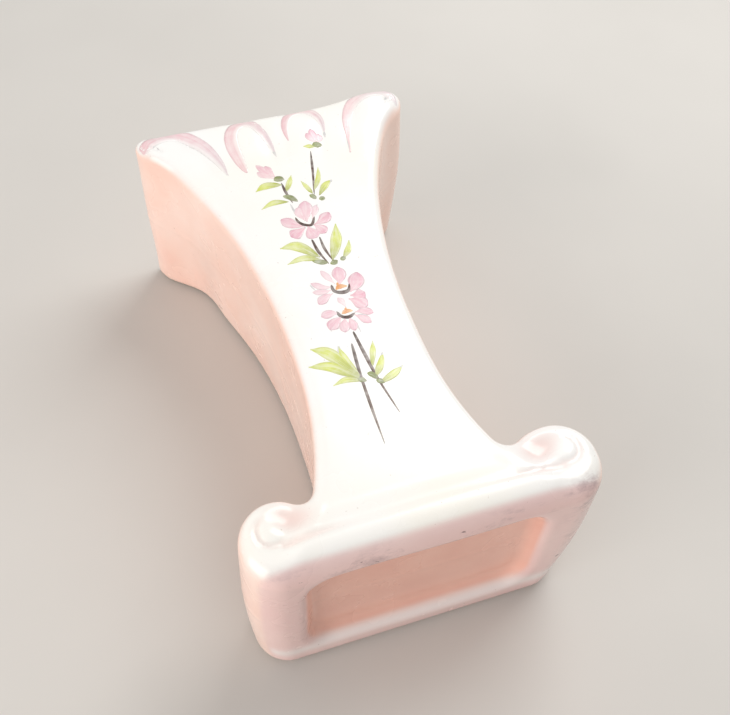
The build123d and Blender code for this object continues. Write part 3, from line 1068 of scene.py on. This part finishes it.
# %% [markdown]
# ## The metal parts behind
#
# The wall plate is zinc-plated sheet, brushed along its length before plating. The bowed springs are darker
# tempered steel, and the rivets are turned and bright on their heads. Their shapes are already right in the
# design model, so each only gets a finish in its own slots: fine drawn lines with a few stains.


# %% Brushed metal
def brushed_metal(name, light, dark, roughness, stretch):
    """Plated or tempered steel with fine drawn lines and a few stains."""
    material, tree, shader = new_finish(name, roughness, Metallic=1.0)
    where = place(tree)
    lines = noise(tree, where, 300, 4, 0.6, stretch)
    stains = noise(tree, where, 70, 4)
    drawn = ramp(tree, lines, (0.3, light), (0.7, dark))
    stained = ramp(tree, stains, (0.35, 0.0), (0.75, 0.8))
    link(tree, blend_in(tree, stained, drawn, dark), shader.inputs["Base Color"])
    gloss = ramp(tree, lines, (0.3, roughness - 0.08), (0.7, roughness + 0.1))
    link(tree, gloss, shader.inputs["Roughness"])
    bump(tree, shader, lines, 0.15, 0.0001)
    return material


zinc = brushed_metal("brushed_zinc", tint(205, 208, 214), tint(168, 172, 180), 0.34, (1.0, 0.06, 1.0))
tempered = brushed_metal("tempered_steel", tint(150, 146, 142), tint(104, 100, 100), 0.3, (1.0, 0.1, 1.0))
turned = brushed_metal("turned_rivet_steel", tint(214, 212, 206), tint(170, 168, 164), 0.24, (1.0, 1.0, 1.0))
print("three metals:", zinc.name, tempered.name, turned.name)

# %% [markdown]
# ## Rubber and felt
#
# The grip strips are matt black rubber with dust in its grain. The buffer pads are grey felt, whose short
# fibres lie in every direction and catch the light at a glancing angle, which is what a little sheen is
# for.


# %% Rubber and felt
def speckled_rubber():
    """Matt black rubber with pale dust and a fine moulded grain."""
    material, tree, shader = new_finish("strip_rubber_black", 0.75)
    where = place(tree)
    dust = ramp(tree, noise(tree, where, 650, 4), (0.45, tint(38, 37, 38)), (0.72, tint(70, 68, 66)))
    link(tree, dust, shader.inputs["Base Color"])
    link(tree, ramp(tree, noise(tree, where, 200), (0.3, 0.65), (0.7, 0.85)), shader.inputs["Roughness"])
    bump(tree, shader, noise(tree, where, 1600, 3), 0.4, 0.0002)
    return material


def pressed_felt():
    """Grey felt: short fibres in every direction."""
    material, tree, shader = new_finish("pad_felt_grey", 0.95, Sheen_Weight=0.4)
    where = place(tree)
    fibres = noise(tree, where, 1500, 6, 0.75, (1.0, 0.3, 1.0))
    grey = ramp(tree, fibres, (0.3, tint(112, 106, 100)), (0.7, tint(168, 160, 150)))
    link(tree, grey, shader.inputs["Base Color"])
    bump(tree, shader, fibres, 0.6, 0.0005)
    return material


strip_rubber, pad_felt = speckled_rubber(), pressed_felt()
print("two soft finishes:", strip_rubber.name, pad_felt.name)

# %% [markdown]
# ## Giving each part its finish
#
# The design model's own meshes stay as they are. Only the finish in each of their slots is exchanged, so
# sizes and joints can't be harmed here.

# %% Finishes in their slots
FINISHES = {
    "wall_plate": zinc, "side_spring_left": tempered, "side_spring_right": tempered, "spring_rivets": turned,
    "grip_strip_left": strip_rubber, "grip_strip_right": strip_rubber, "buffer_pads": pad_felt,
}
for node_name, finish in FINISHES.items():
    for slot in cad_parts[node_name].material_slots:
        slot.material = finish
    print(node_name, "in", finish.name)

# %% [markdown]
# ## The floor
#
# A glossy white piece needs something pale and large to reflect. A plain matt floor with a hardly visible
# cloud in it does that, and it shows the shadow that sets the piece down.

# %% The floor
FLOOR_SIZE = 3.0
floor = mesh_object("studio_floor", [(-1, -1, 0), (1, -1, 0), (1, 1, 0), (-1, 1, 0)], [(0, 1, 2, 3)])
floor.scale = [FLOOR_SIZE / (2 * MM)] * 2 + [1.0]


def floor_finish():
    """Pale matt paper with faint clouds."""
    material, tree, shader = new_finish("pale_floor", 0.7)
    where = tree.nodes.new("ShaderNodeNewGeometry").outputs["Position"]
    paper = ramp(tree, noise(tree, where, 9, 3), (0.3, tint(214, 211, 206)), (0.7, tint(208, 205, 200)))
    link(tree, paper, shader.inputs["Base Color"])
    return material


floor.data.materials.append(floor_finish())
print("a floor", FLOOR_SIZE, "m wide")

# %% [markdown]
# ## Lights
#
# A wide soft light stands high on the right and keeps the front bright, and a slightly warm one fills in
# from the left, so that the pink wall glows. Small lamps would give hard spots on the glaze.

# %% Soft boxes
AIM_POINT = Vector((0, 0, 0.03))


def soft_light(name, place_at, size, watts, colour):
    """A square soft box that looks at the middle of the cover."""
    lamp = bpy.data.lights.new(name, "AREA")
    lamp.size, lamp.energy, lamp.color = size, watts, colour
    box = bpy.data.objects.new(name, lamp)
    bpy.context.scene.collection.objects.link(box)
    box.location = place_at
    box.rotation_euler = (AIM_POINT - box.location).to_track_quat("-Z", "Y").to_euler()


soft_light("key_box", (0.42, 0.28, 0.62), 0.5, 3.8, (1.0, 0.995, 0.98))
soft_light("fill_box", (-0.75, -0.26, 0.3), 0.6, 4.1, (1.0, 0.95, 0.92))
print("two soft boxes")

# %% [markdown]
# ## The room
#
# The room itself is a pale, even grey that reaches under the foot and into the tray. The plain view
# transform keeps the whites white, where a filmic one would turn them grey.

# %% Room
room = bpy.data.worlds.new("studio_room")
room.use_nodes = True
room_light = room.node_tree.nodes["Background"].inputs
room_light["Color"].default_value = (1.0, 0.985, 0.97, 1.0)
room_light["Strength"].default_value = 0.475
bpy.context.scene.world = room
bpy.context.scene.view_settings.view_transform = "Standard"
print("a pale room")

# %% [markdown]
# ## The camera
#
# The camera looks down steeply from the lower left, turned a little, as one would pick the piece up. Its
# lens is near normal, so the foot looks only a little larger than the top.

# %% The camera
CAMERA_PLACE = Vector((-58.1, -164.8, 268.1)) * MM
SWING, TILT, ROLL, LENS = -22.16, 36.13, 4.21, 49.3
eye = bpy.data.cameras.new("view_camera")
eye.sensor_width, eye.lens = 36.0, LENS
camera = bpy.data.objects.new("view_camera", eye)
bpy.context.scene.collection.objects.link(camera)
aim = Matrix.Rotation(math.radians(SWING), 4, "Z") @ Matrix.Rotation(math.radians(TILT), 4, "X")
camera.matrix_world = Matrix.Translation(CAMERA_PLACE) @ aim @ Matrix.Rotation(math.radians(ROLL), 4, "Z")
bpy.context.scene.camera = camera
print("camera", round((camera.location - AIM_POINT).length, 3), "m away")
